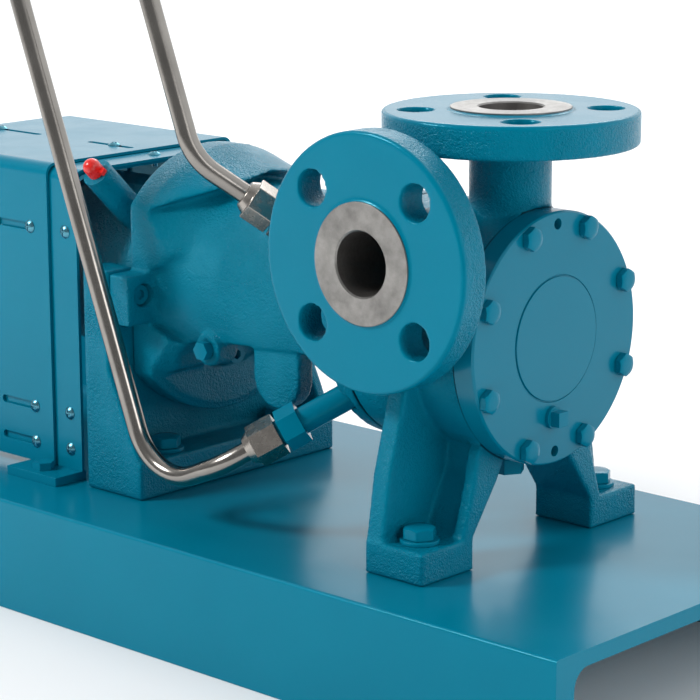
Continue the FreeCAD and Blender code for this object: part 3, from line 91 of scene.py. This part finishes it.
class Shader:
    """A material's node tree, with short names for the few nodes that every material here uses."""

    def __init__(self, name):
        self.material = bpy.data.materials.new(name)
        self.material.use_nodes = True
        self.tree = self.material.node_tree
        self.surface = self.tree.nodes["Principled BSDF"]
        self.place = self.add("ShaderNodeTexCoord").outputs["Object"]

    def add(self, kind, **values):
        node = self.tree.nodes.new(kind)
        for key, value in values.items():
            setattr(node, key, value)
        return node

    def link(self, source, target):
        self.tree.links.new(source, target)

    def set(self, **values):
        for key, value in values.items():
            self.surface.inputs[key.replace("_", " ")].default_value = value

    def noise(self, scale, detail=3.0, roughness=0.55):
        noise = self.add("ShaderNodeTexNoise")
        noise.inputs["Scale"].default_value = scale
        noise.inputs["Detail"].default_value = detail
        noise.inputs["Roughness"].default_value = roughness
        self.link(self.place, noise.inputs["Vector"])
        return noise.outputs["Fac"]

    def ramp(self, value, low, high, start=0.0, end=1.0):
        """value from low to high becomes start to end, held at both ends."""
        node = self.add("ShaderNodeMapRange")
        for key, number in zip(("From Min", "From Max", "To Min", "To Max"), (low, high, start, end)):
            node.inputs[key].default_value = number
        self.link(value, node.inputs["Value"])
        return node.outputs["Result"]

    def math(self, operation, *values):
        node = self.add("ShaderNodeMath", operation=operation)
        for slot, value in zip(node.inputs, values):
            if isinstance(value, (int, float)):
                slot.default_value = value
            else:
                self.link(value, slot)
        return node.outputs["Value"]

    def position(self):
        """The point's X, Y and Z."""
        parts = self.add("ShaderNodeSeparateXYZ")
        self.link(self.place, parts.inputs["Vector"])
        return parts.outputs

    def from_line(self, position, centre, axis):
        """The point's distance from a line through centre, along axis 0, 1 or 2."""
        squares = []
        for index in range(3):
            if index != axis:
                offset = self.math("SUBTRACT", position[index], float(centre[index]))
                squares.append(self.math("MULTIPLY", offset, offset))
        return self.math("SQRT", self.math("ADD", *squares))

    def mix(self, factor, first, second):
        node = self.add("ShaderNodeMix", data_type="RGBA")
        self.link(factor, node.inputs["Factor"])
        for slot, colour in zip(("A", "B"), (first, second)):
            socket = [s for s in node.inputs if s.name == slot and s.type == "RGBA"][0]
            if isinstance(colour, tuple):
                socket.default_value = (*colour, 1)
            else:
                self.link(colour, socket)
        return [s for s in node.outputs if s.type == "RGBA"][0]

    def colour(self, value):
        self.link(value, self.surface.inputs["Base Color"])

    def rough(self, value):
        self.link(value, self.surface.inputs["Roughness"])

    def bump(self, height, distance, strength=1.0, below=None):
        node = self.add("ShaderNodeBump")
        node.inputs["Distance"].default_value = distance
        if isinstance(strength, (int, float)):
            node.inputs["Strength"].default_value = strength
        else:
            self.link(strength, node.inputs["Strength"])
        self.link(height, node.inputs["Height"])
        if below is not None:
            self.link(below, node.inputs["Normal"])
        self.link(node.outputs["Normal"], self.surface.inputs["Normal"])
        return node.outputs["Normal"]

    def coat_bump(self, normal):
        self.link(normal, self.surface.inputs["Coat Normal"])


TEAL = (0.0, 0.18, 0.28)
TEAL_DEEP = (0.0, 0.165, 0.26)
TEAL_PALE = (0.002, 0.21, 0.32)
# The colour of the painted shade along the casing's joints.
SEAM_SHADE = (0.0, 0.02, 0.035)

# How many lumps to the metre each pattern in the enamel has.
CLOUDS, SPECKS, GLOSS_PATCHES, PEEL, ROUGH_PATCHES, LUMPS, FINE_GRAIN = 9, 420, 30, 170, 22, 260, 700


def painted(name, grain=0.0, peel=0.25, faced=(), shaded_seams=(), sheen=(0.0, 0.56, 0.74)):
    """Gloss teal enamel.

    grain is how far the rough casting shows through, and peel the orange peel of the coat.
    faced lists (axis, limit) planes: past each one the casting was machined, and its grain is gone.
    The places along X where it meets its neighbours get a dark line of painted shade, standing in for
    the shadow in the joint's groove.
    """
    shader = Shader(name)
    shader.set(Coat_Weight=0.05, Coat_Roughness=0.1, IOR=1.4, Specular_Tint=(*sheen, 1))
    cloud = shader.noise(CLOUDS, 2)
    speck = shader.noise(SPECKS, 2)
    tone = shader.mix(shader.ramp(cloud, 0.3, 0.7), TEAL_DEEP, TEAL)
    tone = shader.mix(shader.ramp(speck, 0.62, 0.8, 0.0, 0.25), tone, TEAL_PALE)
    position = shader.position()
    # Each joint gets a thin dark band near the drum's rim: painted shade in place of the shadow in its
    # groove.
    for seam in shaded_seams:
        away = shader.math("ABSOLUTE", shader.math("SUBTRACT", position["X"], seam))
        radius = shader.from_line(position, (0, 0, SHAFT_Z), 0)
        outside = shader.ramp(radius, SEAM_RADIUS, SEAM_RADIUS + 0.6 * MM)
        clear = shader.math("MAXIMUM", outside, shader.ramp(away, 0.9 * MM, 1.5 * MM))
        tone = shader.mix(clear, SEAM_SHADE, tone)
    shader.colour(tone)
    shader.rough(shader.ramp(shader.noise(GLOSS_PATCHES, 2), 0.3, 0.7, 0.2, 0.26))
    soft = shader.bump(shader.noise(PEEL, 2), 0.3 * MM, peel)
    if not grain:
        shader.coat_bump(soft)
        return shader.material
    share = grain
    for axis, limit in faced:
        fade = math.copysign(1.5 * MM, limit)
        uncut = shader.ramp(position[axis], limit - fade, limit, 1.0, 0.05)
        share = shader.math("MULTIPLY", uncut, share)
    patchy = shader.ramp(shader.noise(ROUGH_PATCHES, 3), 0.35, 0.6, 0.35, 1.0)
    share = shader.math("MULTIPLY", patchy, share)
    lumps = shader.bump(shader.noise(LUMPS, 2, 0.6), 0.9 * MM, share, soft)
    shader.coat_bump(shader.bump(shader.noise(FINE_GRAIN, 2, 0.7), 1.5 * MM, share, lumps))
    return shader.material


def turned_face(name, centre, axis):
    """Bare metal faced on a lathe: fine rings about the axis, with faint blotches."""
    tone = (0.3, 0.29, 0.275)
    dark = tuple(c * 0.7 for c in tone)
    pitch = 0.55 * MM
    shader = Shader(name)
    shader.set(Metallic=1.0, Anisotropic=0.75)
    tangent = shader.add("ShaderNodeTangent", direction_type="RADIAL", axis="XYZ"[axis])
    shader.link(tangent.outputs["Tangent"], shader.surface.inputs["Tangent"])
    radius = shader.from_line(shader.position(), centre, axis)
    rings = shader.math("SINE", shader.math("MULTIPLY", radius, math.tau / pitch))
    blotch = shader.noise(95, 5, 0.65)
    shader.colour(shader.mix(shader.ramp(blotch, 0.35, 0.62), dark, tone))
    shader.rough(shader.ramp(shader.noise(260), 0.3, 0.7, 0.28, 0.42))
    shader.bump(rings, 0.012 * MM, 0.5, shader.bump(shader.noise(600, 2), 0.04 * MM, 0.25))
    return shader.material


def bare_metal(name, tone, low, high, grain=300, distance=0.05 * MM):
    """Bright metal with fine marks, its roughness from low to high."""
    shader = Shader(name)
    shader.set(Metallic=1.0)
    marks = shader.noise(grain)
    dull = tuple(c * 0.8 for c in tone)
    shader.colour(shader.mix(shader.ramp(shader.noise(40), 0.3, 0.7), dull, tone))
    shader.rough(shader.ramp(marks, 0.3, 0.7, low, high))
    shader.bump(marks, distance, 0.25)
    return shader.material


def plastic(name, tone, shine):
    """Moulded plastic or rubber with a fine matt grain."""
    shader = Shader(name)
    shader.set(Roughness=shine, Coat_Weight=0.3, Coat_Roughness=0.1)
    pale = tuple(min(1.0, c * 1.15 + 0.005) for c in tone)
    shader.colour(shader.mix(shader.ramp(shader.noise(120, 2), 0.3, 0.7), tone, pale))
    shader.rough(shader.ramp(shader.noise(500, 2), 0.3, 0.7, shine * 0.8, shine * 1.3))
    shader.bump(shader.noise(800, 2), 0.05 * MM, 0.3)
    return shader.material


PLAIN_PAINT = painted("teal_enamel", peel=0.015)
# The casting and casing paints carry painted shade along their joints.
CAST_PAINT = painted("teal_enamel_on_casting", grain=1.0, shaded_seams=(BRACKET_SEAM,))
CASING_PAINT = painted("teal_enamel_on_casing", grain=0.95, shaded_seams=(COVER_SEAM, BRACKET_SEAM), faced=(
    (1, SUCTION.y + 3.2 * MM), (2, DISCHARGE.z - 3.2 * MM)))
FINE_PAINT = painted("teal_enamel_on_machined", peel=0.03, sheen=(0.55, 0.9, 0.95))
BORE = bare_metal("bored_metal", (0.2, 0.19, 0.18), 0.5, 0.7, 500)
STEEL = bare_metal("turned_steel", (0.5, 0.49, 0.48), 0.25, 0.42, distance=0.02 * MM)
STAINLESS = bare_metal("drawn_stainless", (0.32, 0.3, 0.275), 0.17, 0.23, 900, distance=0.01 * MM)
FITTING = bare_metal("stainless_fitting", (0.4, 0.37, 0.335), 0.2, 0.32, 200, distance=0.03 * MM)
BRONZE = bare_metal("bronze", (0.62, 0.43, 0.22), 0.25, 0.4)
ZINC = bare_metal("plated_screw", (0.12, 0.36, 0.46), 0.2, 0.35, 700)
RUBBER = plastic("rubber", (0.02, 0.02, 0.022), 0.6)
CARBON = plastic("lapped_carbon", (0.03, 0.03, 0.035), 0.35)
RED = plastic("red_plastic", (0.72, 0.012, 0.008), 0.25)

FINISH = {
    "teal_paint": PLAIN_PAINT, "cast_paint": CAST_PAINT, "machined_steel": STEEL, "stainless": STAINLESS,
    "bronze": BRONZE, "rubber": RUBBER, "seal_carbon": CARBON, "zinc_screws": ZINC, "red_plastic": RED,
}
FINISH_OF = {
    "upper_tube_nut": FITTING, "lower_tube_nut": FITTING, "end_cover": FINE_PAINT,
    "guard_foot_bolts": PLAIN_PAINT, "pump_coupling_hub": PLAIN_PAINT, "motor_coupling_hub": PLAIN_PAINT,
}


def paint(obj, material):
    obj.data.materials.clear()
    obj.data.materials.append(material)


def finish_nodes():
    """Every CAD node takes its material slot's finish, or its own."""
    for part in frame["record"]["subparts"]:
        node = part["node"]
        obj = NODES[node]
        material = FINISH_OF.get(node, FINISH[part["material_slot"]])
        for index in range(len(obj.material_slots)):
            obj.material_slots[index].material = material
        if not obj.material_slots:
            obj.data.materials.append(material)


# ---------------------------------------------------------------- shapes

def shown(name, mesh, material, body, slot, *nodes):
    """A new piece in place of CAD nodes, riding on their body."""
    obj = bpy.data.objects.new(name, mesh)
    bpy.context.scene.collection.objects.link(obj)
    paint(obj, material)
    if nodes:
        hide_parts(*nodes)
    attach(obj, body)
    return obj


def evaluated(obj):
    """The mesh of an object with its modifiers applied."""
    graph = bpy.context.evaluated_depsgraph_get()
    return bpy.data.meshes.new_from_object(obj.evaluated_get(graph), depsgraph=graph)


def smoothing(obj, name, share, passes):
    """Rounds an object by each point's share, from 0 to 1."""
    group = obj.vertex_groups.new(name=name)
    for level in range(1, 11):
        chosen = np.flatnonzero(np.round(share * 10) == level)
        group.add(chosen.tolist(), level / 10, "REPLACE")
    smooth = obj.modifiers.new(name, "SMOOTH")
    smooth.vertex_group = name
    smooth.factor = 0.5
    smooth.iterations = passes


def casting(node, voxel, passes, material, keep=None, blend=None):
    """The CAD solid with its edges and corners rounded as a casting's are, in so many passes.

    keep(points) gives each point's share of the smoothing, from 0 on a machined face to 1 on a cast one.
    blend(points) gives its share of a second, wider smoothing, where shapes run into each other.
    """
    rough = bpy.data.objects.new(f"{node}_blank", NODES[node].data.copy())
    bpy.context.scene.collection.objects.link(rough)
    grid = rough.modifiers.new("grid", "REMESH")
    grid.mode = "VOXEL"
    grid.voxel_size = voxel
    mesh = evaluated(rough)
    bpy.data.objects.remove(rough)

    blank = bpy.data.objects.new(f"{node}_rounded", mesh)
    bpy.context.scene.collection.objects.link(blank)
    first = blank.modifiers.new("settle", "SMOOTH")
    first.factor = 0.5
    first.iterations = 2
    points = np.empty(len(mesh.vertices) * 3)
    mesh.vertices.foreach_get("co", points)
    points = points.reshape(-1, 3)
    smoothing(blank, "round", np.ones(len(points)) if keep is None else keep(points), passes)
    if blend is not None:
        smoothing(blank, "blend", blend(points), BLEND_PASSES)
    final = evaluated(blank)
    bpy.data.objects.remove(blank)
    for polygon in final.polygons:
        polygon.use_smooth = True
    return shown(f"{node}_casting", final, material, "pump_body", "cast_paint", node)


def crisp(node, width):
    """Rounds a CAD node's own edges a little, and shades the rest smooth."""
    obj = NODES[node]
    for polygon in obj.data.polygons:
        polygon.use_smooth = True
    weld = obj.modifiers.new("weld", "WELD")
    weld.merge_threshold = 0.002 * MM
    flat = obj.modifiers.new("flat", "DECIMATE")
    flat.decimate_type = "DISSOLVE"
    flat.angle_limit = math.radians(0.6)
    edge = obj.modifiers.new("edge", "BEVEL")
    edge.width = width
    edge.segments = 2
    edge.limit_method = "ANGLE"
    edge.angle_limit = math.radians(35)
    edge.harden_normals = True
    edge.use_clamp_overlap = True
    even = obj.modifiers.new("even", "WEIGHTED_NORMAL")
    even.keep_sharp = True


def turn_frame(axis):
    """A matrix whose third column is the axis."""
    axis = Vector(axis).normalized()
    side = axis.orthogonal().normalized()
    return Matrix((side, axis.cross(side), axis)).transposed()


def lathe(bm, profile, centre, axis, segments):
    """A ring turned from a closed loop of (radius, height) points about an axis."""
    turn = turn_frame(axis)
    rings = []
    for radius, height in profile:
        ring = []
        for step in range(segments):
            angle = math.tau * step / segments
            spot = Vector((radius * math.cos(angle), radius * math.sin(angle), height))
            ring.append(bm.verts.new(Vector(centre) + turn @ spot))
        rings.append(ring)
    for lower, upper in zip(rings, rings[1:] + rings[:1]):
        for step in range(segments):
            after = (step + 1) % segments
            bm.faces.new((lower[step], lower[after], upper[after], upper[step]))


def made(name, bm):
    """A mesh from the work in bm, smooth but for its true edges."""
    bmesh.ops.recalc_face_normals(bm, faces=bm.faces)
    for face in bm.faces:
        face.smooth = True
    for edge in bm.edges:
        if len(edge.link_faces) == 2 and edge.calc_face_angle(0) > math.radians(32):
            edge.smooth = False
    mesh = bpy.data.meshes.new(name)
    bm.to_mesh(mesh)
    bm.free()
    return mesh


def islands(node):
    """The separate solids of a CAD node, as arrays of points."""
    bm = bmesh.new()
    bm.from_mesh(NODES[node].data)
    bmesh.ops.remove_doubles(bm, verts=bm.verts, dist=0.002 * MM)
    left = set(bm.verts)
    found = []
    while left:
        start = left.pop()
        group, queue = [start], [start]
        while queue:
            for edge in queue.pop().link_edges:
                for other in edge.verts:
                    if other in left:
                        left.remove(other)
                        group.append(other)
                        queue.append(other)
        found.append(np.array([vert.co[:] for vert in group]))
    bm.free()
    return sorted(found, key=lambda points: tuple(np.round(points.mean(axis=0), 4)))


def hex_head(bm, centre, axis, across, high, corner):
    """A hexagon head on a washer face: flats, a chamfer round the top and a slight dome.

    corner is the angle of one of its corners, and high is its height without the dome.
    """
    turn = turn_frame(axis)
    top = across * 0.475
    washer_face = across * 0.47
    washer_high = 0.5 * MM
    chamfer = math.tan(math.radians(32))
    steps = []
    for face in range(6):
        middle = corner + math.radians(60 * face)
        steps += [middle + math.radians(part) for part in (-1.5, 1.5, 10, 20, 30, 40, 50)]

    def flat_radius(angle):
        """How far the hexagon's side is at this angle; its corners are 60 degrees apart."""
        turned = (angle - corner) % math.radians(60)
        return across / 2 / math.cos(turned - math.radians(30))

    def ring(radius, height):
        """A ring of points, with a radius and a height that may change with the angle."""
        points = []
        for angle in steps:
            far = radius(angle) if callable(radius) else radius
            up = height(angle) if callable(height) else height
            spot = Vector((far * math.cos(angle), far * math.sin(angle), up))
            points.append(bm.verts.new(Vector(centre) + turn @ spot))
        return points

    rings = [
        ring(washer_face, 0.0),
        ring(washer_face, washer_high),
        ring(flat_radius, washer_high + 0.1 * MM),
        ring(flat_radius, lambda angle: high - (flat_radius(angle) - top) * chamfer),
        ring(top, high),
        ring(top * 0.6, high + CROWN * 0.7),
    ]
    count = len(steps)
    for first, second in zip(rings, rings[1:]):
        for step in range(count):
            after = (step + 1) % count
            bm.faces.new((first[step], first[after], second[after], second[step]))
    bm.faces.new(list(reversed(rings[0])))
    dome = rings[-1]
    tip = bm.verts.new(Vector(centre) + turn @ Vector((0, 0, high + CROWN)))
    for step in range(count):
        bm.faces.new((dome[step], dome[(step + 1) % count], tip))


def bolts(node, axis, name):
    """Hexagon bolts with chamfered heads, in the places of a CAD node's bolts.

    axis points from shank to head.
    """
    axis = Vector(axis)
    turn = np.array(turn_frame(axis).transposed())
    core = 0.3 * MM
    bm = bmesh.new()
    for points in islands(node):
        local = points @ turn.T
        middle = (local[:, :2].min(axis=0) + local[:, :2].max(axis=0)) / 2
        radius = np.hypot(*(local[:, :2] - middle).T)
        widest = radius.max()
        head = local[radius > 0.9 * widest]
        low, high = head[:, 2].min(), head[:, 2].max()
        far = head[0, :2] - middle
        across = 2 * widest * math.cos(math.radians(30))
        spot = Vector(turn.T @ np.array([*middle, low]))
        hex_head(bm, spot, axis, across, high - low - CROWN, math.atan2(far[1], far[0]))
        shank = radius[radius < 0.8 * widest].max()
        tail = local[:, 2].min() - low
        under_head = 0.2 * MM
        profile = [(core, tail), (shank - 0.6 * MM, tail), (shank, tail + 0.8 * MM), (shank, under_head),
                   (core, under_head)]
        lathe(bm, profile, spot, axis, 24)
    return shown(name, made(name, bm), PLAIN_PAINT, "pump_body", "teal_paint", node)


def machined_faces():
    """The flanges' raised faces, left bare, with the bores behind them.

    Each ring stands a hair proud of the casting, so that the two surfaces don't share a plane.
    """
    deep = 45 * MM
    proud = 0.2 * MM
    back = -RAISED_HIGH - 0.6 * MM
    profile = [
        (RAISED_RADIUS + proud, back),
        (RAISED_RADIUS + proud, proud - 0.3 * MM),
        (RAISED_RADIUS - 0.2 * MM, proud),
        (FLANGE_BORE + 0.7 * MM, proud),
        (FLANGE_BORE - proud, proud - 0.9 * MM),
        (FLANGE_BORE - proud, -deep),
        (FLANGE_BORE + 0.5 * MM, -deep),
        (FLANGE_BORE + 0.5 * MM, back),
    ]
    for side, spot, axis_index in (("suction", SUCTION, 1), ("discharge", DISCHARGE, 2)):
        name = f"{side}_raised_face"
        axis = Vector(MOUNTS[f"{side}_bore"]["axis"])
        bm = bmesh.new()
        lathe(bm, profile, spot, axis, 160)
        metal = turned_face(f"{name}_metal", spot, axis_index)
        ring = shown(name, made(name, bm), metal, "pump_body", "machined_steel")
        ring.data.materials.append(BORE)
        for face in ring.data.polygons:
            if (Vector(face.center) - spot).dot(axis) < -RAISED_HIGH - MM:
                face.material_index = 1


# ---------------------------------------------------------------- the object

def near(points, centre, axis_index):
    """Distance of each point from a line through centre along an axis."""
    across = [i for i in range(3) if i != axis_index]
    return np.hypot(*(points[:, across] - np.array([centre[i] for i in across])).T)


def casing_share(points):
    """Machined faces and bores keep their edges; the rest is cast."""
    flange, flange_deep = 82 * MM, 8 * MM
    face, face_deep = 40 * MM, 4 * MM
    share = np.ones(len(points))
    for spot, axis in ((SUCTION, 1), (DISCHARGE, 2)):
        radius = near(points, spot, axis)
        behind = np.abs(points[:, axis] - spot[axis])
        share[(radius < flange) & (behind < flange_deep)] = 0.1
        share[(radius < face) & (behind < face_deep)] = 0.0
    share[points[:, 2] < FOOT_TOP] = 0.2
    return share


def bracket_blend(points):
    """The hood runs out softly into the barrel, in front of the bracket's disc and above the shaft."""
    after_disc = np.clip((points[:, 0] - HOOD_START) / (6 * MM), 0, 1)
    before_end = np.clip((HOOD_END - points[:, 0]) / (20 * MM), 0, 1)
    above = np.clip((points[:, 2] - SHAFT_Z - 8 * MM) / (10 * MM), 0, 1)
    return after_disc * above * before_end


# How far each node's own edges are rounded, in millimetres.
EDGES = {
    "base_channel": 1.2, "guard_pump_end": 0.5, "guard_middle": 0.5, "guard_motor_end": 0.5,
    "guard_end_frame": 0.5, "guard_feet": 0.6, "motor_pads": 1.0, "upper_tube_nut": 0.5,
    "lower_tube_nut": 0.5, "upper_nipple": 0.3, "lower_nipple": 0.3, "cover_plug": 0.5,
    "end_cover": 0.8, "hold_down_washers": 0.4, "seal_gland": 0.6, "bearing_end_cover": 0.8,
}


def build():
    finish_nodes()
    casting("pump_casing", 1.1 * MM, 10, CASING_PAINT, casing_share)
    casting("bearing_bracket", 1.25 * MM, 9, CAST_PAINT, blend=bracket_blend)
    casting("rear_pedestal", 1.4 * MM, 5, CAST_PAINT)
    machined_faces()
    bolts("cover_bolts", (1, 0, 0), "cover_hex_bolts")
    bolts("hold_down_bolts", (0, 0, 1), "foot_hex_bolts")
    for node, width in EDGES.items():
        crisp(node, width * MM)


# ---------------------------------------------------------------- the studio

def look_at(obj, target, roll=0.0):
    turn = (Vector(target) - obj.location).to_track_quat("-Z", "Y")
    obj.rotation_euler = (turn.to_matrix() @ Matrix.Rotation(roll, 3, "Z")).to_euler()


def camera():
    lens = bpy.data.cameras.new("camera")
    lens.lens = 134.56
    lens.sensor_width = 36
    obj = bpy.data.objects.new("camera", lens)
    bpy.context.scene.collection.objects.link(obj)
    azimuth, elevation, roll = (math.radians(angle) for angle in (42.99, 12.91, -0.19))
    level = math.cos(elevation)
    back = Vector((math.sin(azimuth) * level, -math.cos(azimuth) * level, math.sin(elevation)))
    target = Vector((0.20863, 0, 0.17699))
    distance = 1.68985
    obj.location = target + back * distance
    look_at(obj, target, roll)
    bpy.context.scene.camera = obj


def soft_box(name, place, size, power, target=(0.15, 0, 0.2)):
    light = bpy.data.lights.new(name, "AREA")
    light.shape = "RECTANGLE"
    light.size, light.size_y = size
    light.energy = power
    obj = bpy.data.objects.new(name, light)
    obj.location = place
    bpy.context.scene.collection.objects.link(obj)
    look_at(obj, target)


def surroundings():
    """A pale surround, dim in front of the object and brighter behind it."""
    world = bpy.data.worlds.new("studio")
    world.use_nodes = True
    tree = world.node_tree
    place = tree.nodes.new("ShaderNodeTexCoord").outputs["Generated"]
    parts = tree.nodes.new("ShaderNodeSeparateXYZ")
    tree.links.new(place, parts.inputs["Vector"])
    fade = tree.nodes.new("ShaderNodeMapRange")
    for key, number in zip(("From Min", "From Max", "To Min", "To Max"), (-0.5, 0.4, 0.3, 1.2)):
        fade.inputs[key].default_value = number
    tree.links.new(parts.outputs["Y"], fade.inputs["Value"])
    tree.links.new(fade.outputs["Result"], tree.nodes["Background"].inputs["Strength"])
    tree.nodes["Background"].inputs["Color"].default_value = (0.96, 0.98, 1.0, 1)
    bpy.context.scene.world = world


def studio():
    surroundings()
    bpy.context.scene.view_settings.view_transform = "Standard"
    soft_box("key", (-1.3, -2.0, 2.0), (0.8, 0.6), 66)
    soft_box("side", (2.4, -0.5, 1.0), (0.8, 0.8), 8)
    soft_box("back", (-1.6, 2.6, 2.2), (2.4, 1.6), 55, (-1.6, 2.6, 0))

    bm = bmesh.new()
    bmesh.ops.create_grid(bm, x_segments=2, y_segments=2, size=14)
    mesh = bpy.data.meshes.new("floor")
    bm.to_mesh(mesh)
    bm.free()
    floor = bpy.data.objects.new("floor", mesh)
    floor.location.z = CAD_BOX[0][2] - 0.2 * MM
    bpy.context.scene.collection.objects.link(floor)
    shader = Shader("pale_floor")
    shader.set(Roughness=0.8)
    shader.colour(shader.mix(shader.ramp(shader.noise(3, 2), 0.3, 0.7), (0.9,) * 3, (0.92,) * 3))
    paint(floor, shader.material)


build()
studio()
camera()
